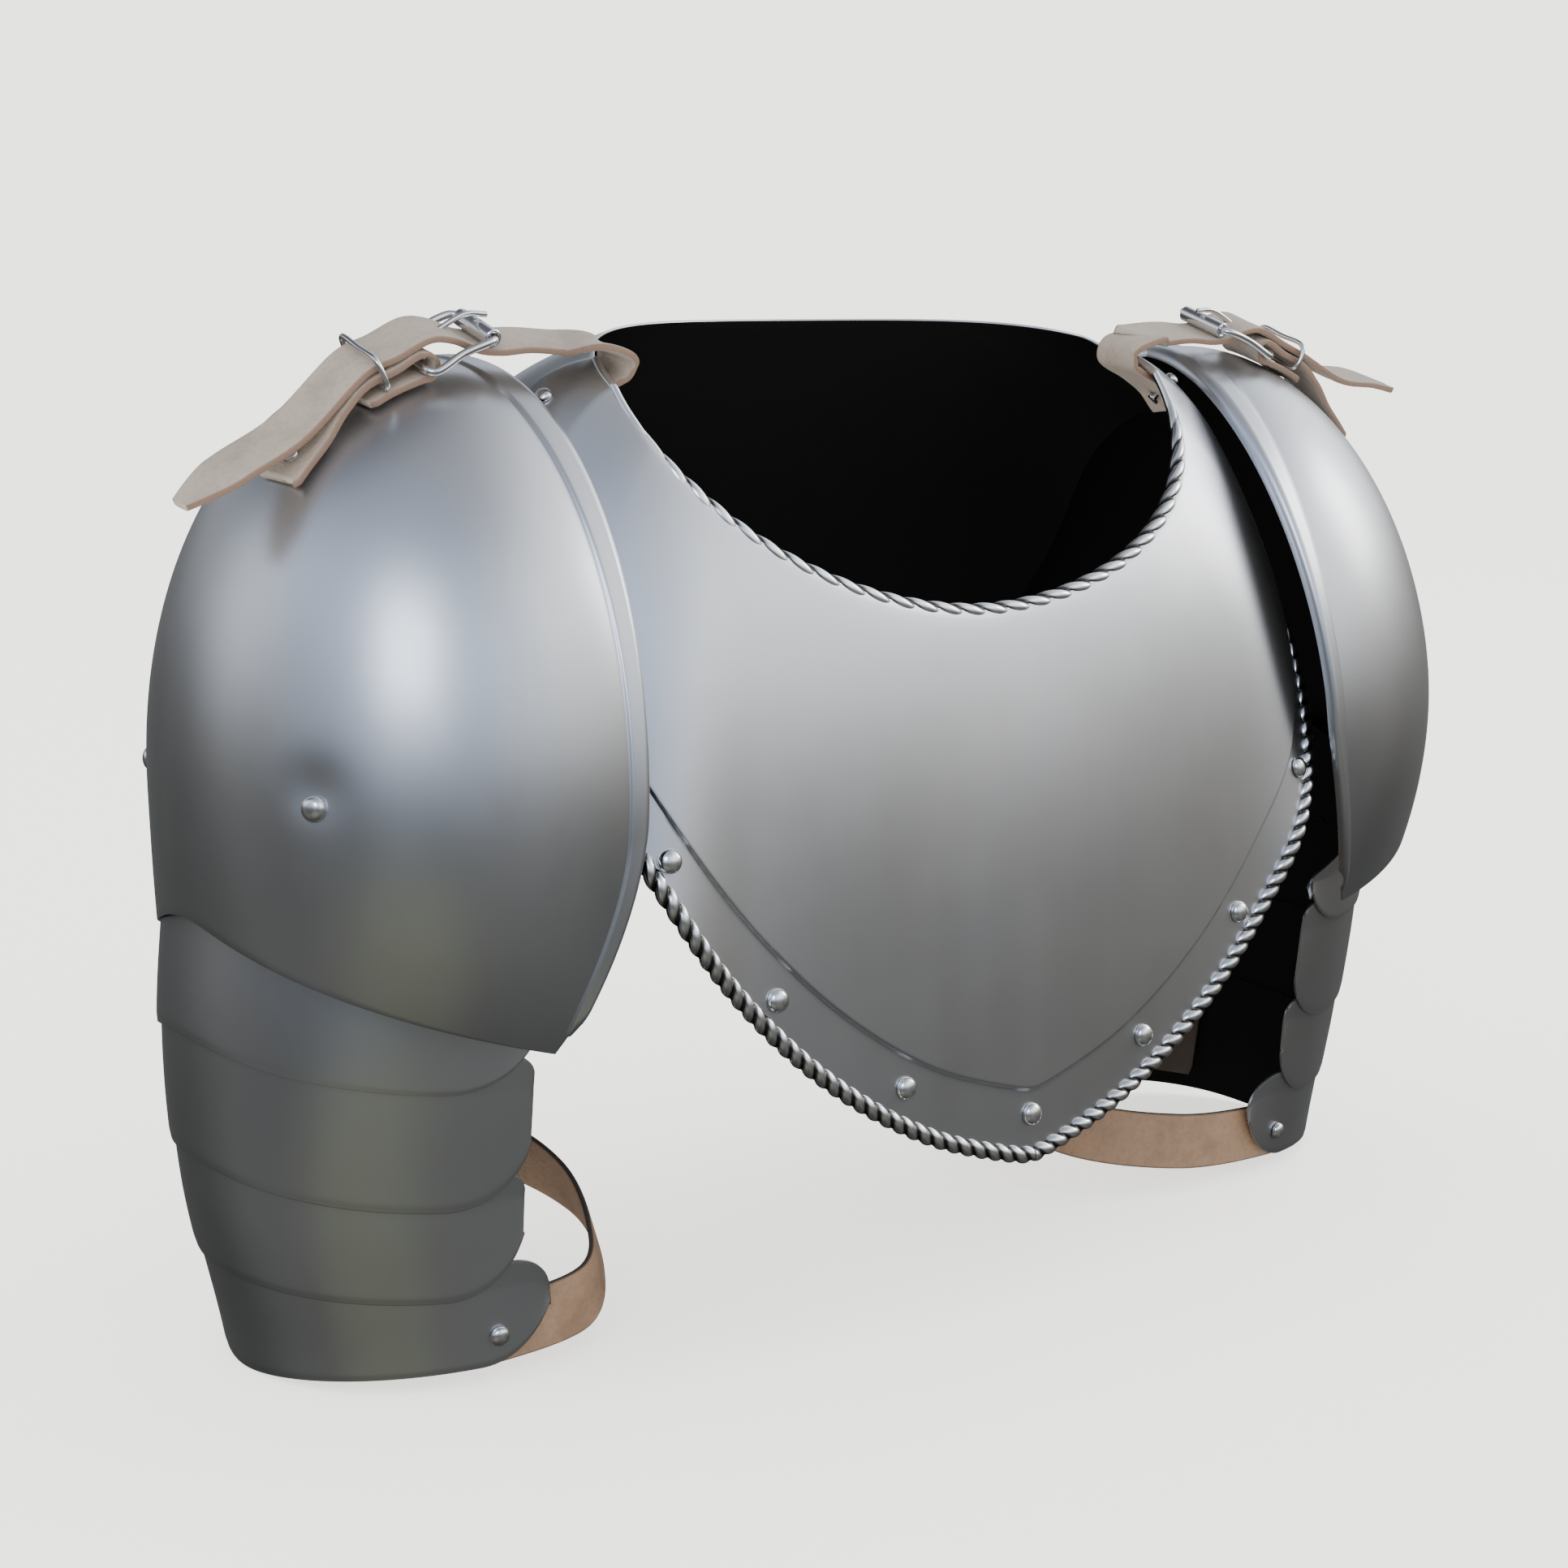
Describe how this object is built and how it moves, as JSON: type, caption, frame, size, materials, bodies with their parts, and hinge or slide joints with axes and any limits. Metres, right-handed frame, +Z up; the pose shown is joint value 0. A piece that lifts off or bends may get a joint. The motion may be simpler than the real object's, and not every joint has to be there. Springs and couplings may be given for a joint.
{
  "type": "gorget with pauldrons",
  "caption": "Polished steel gorget with a roped neckline and border, and domed pauldrons with lames for both arms, buckled on at the shoulders.",
  "frame": {"origin": "middle of the neck opening, at the height where the gorget rests on the shoulders", "axes": "+Z up, the wearer faces -Y, the wearer's right arm is on -X"},
  "size_m": [0.6082, 0.2501, 0.3921],
  "materials": {
    "polished_steel": "satin polished plate",
    "hardware_steel": "bright rivets and buckles",
    "strap_leather": "taupe strap leather with darker cut edges",
    "arm_leather": "tan leather, darker outside"
  },
  "bodies": {
    "root": {"gorget_front": "polished_steel", "gorget_back": "polished_steel", "tip_rivet": "hardware_steel", "right_border_rivet_1": "hardware_steel", "left_border_rivet_1": "hardware_steel", "right_border_rivet_2": "hardware_steel", "left_border_rivet_2": "hardware_steel", "right_border_rivet_3": "hardware_steel", "left_border_rivet_3": "hardware_steel", "left_shoulder_dome": "polished_steel", "left_lame_1": "polished_steel", "left_lame_2": "polished_steel", "left_lame_3": "polished_steel", "left_lame_4": "polished_steel", "left_front_hanger": "arm_leather", "left_rear_hanger": "arm_leather", "left_arm_strap": "arm_leather", "left_front_dome_rivet": "hardware_steel", "left_rear_dome_rivet": "hardware_steel", "left_front_arm_rivet": "hardware_steel", "left_rear_arm_rivet": "hardware_steel", "left_buckle_strap": "strap_leather", "left_collar_strap": "strap_leather", "left_strap_rivet": "hardware_steel", "left_collar_rivet": "hardware_steel", "left_buckle_frame": "hardware_steel", "left_buckle_roller": "hardware_steel", "left_buckle_tongue": "hardware_steel", "left_keeper": "hardware_steel", "right_shoulder_dome": "polished_steel", "right_lame_1": "polished_steel", "right_lame_2": "polished_steel", "right_lame_3": "polished_steel", "right_lame_4": "polished_steel", "right_front_hanger": "arm_leather", "right_rear_hanger": "arm_leather", "right_arm_strap": "arm_leather", "right_front_dome_rivet": "hardware_steel", "right_rear_dome_rivet": "hardware_steel", "right_front_arm_rivet": "hardware_steel", "right_rear_arm_rivet": "hardware_steel", "right_buckle_strap": "strap_leather", "right_collar_strap": "strap_leather", "right_strap_rivet": "hardware_steel", "right_collar_rivet": "hardware_steel", "right_buckle_frame": "hardware_steel", "right_buckle_roller": "hardware_steel", "right_buckle_tongue": "hardware_steel", "right_keeper": "hardware_steel"}
  },
  "joints": []
}
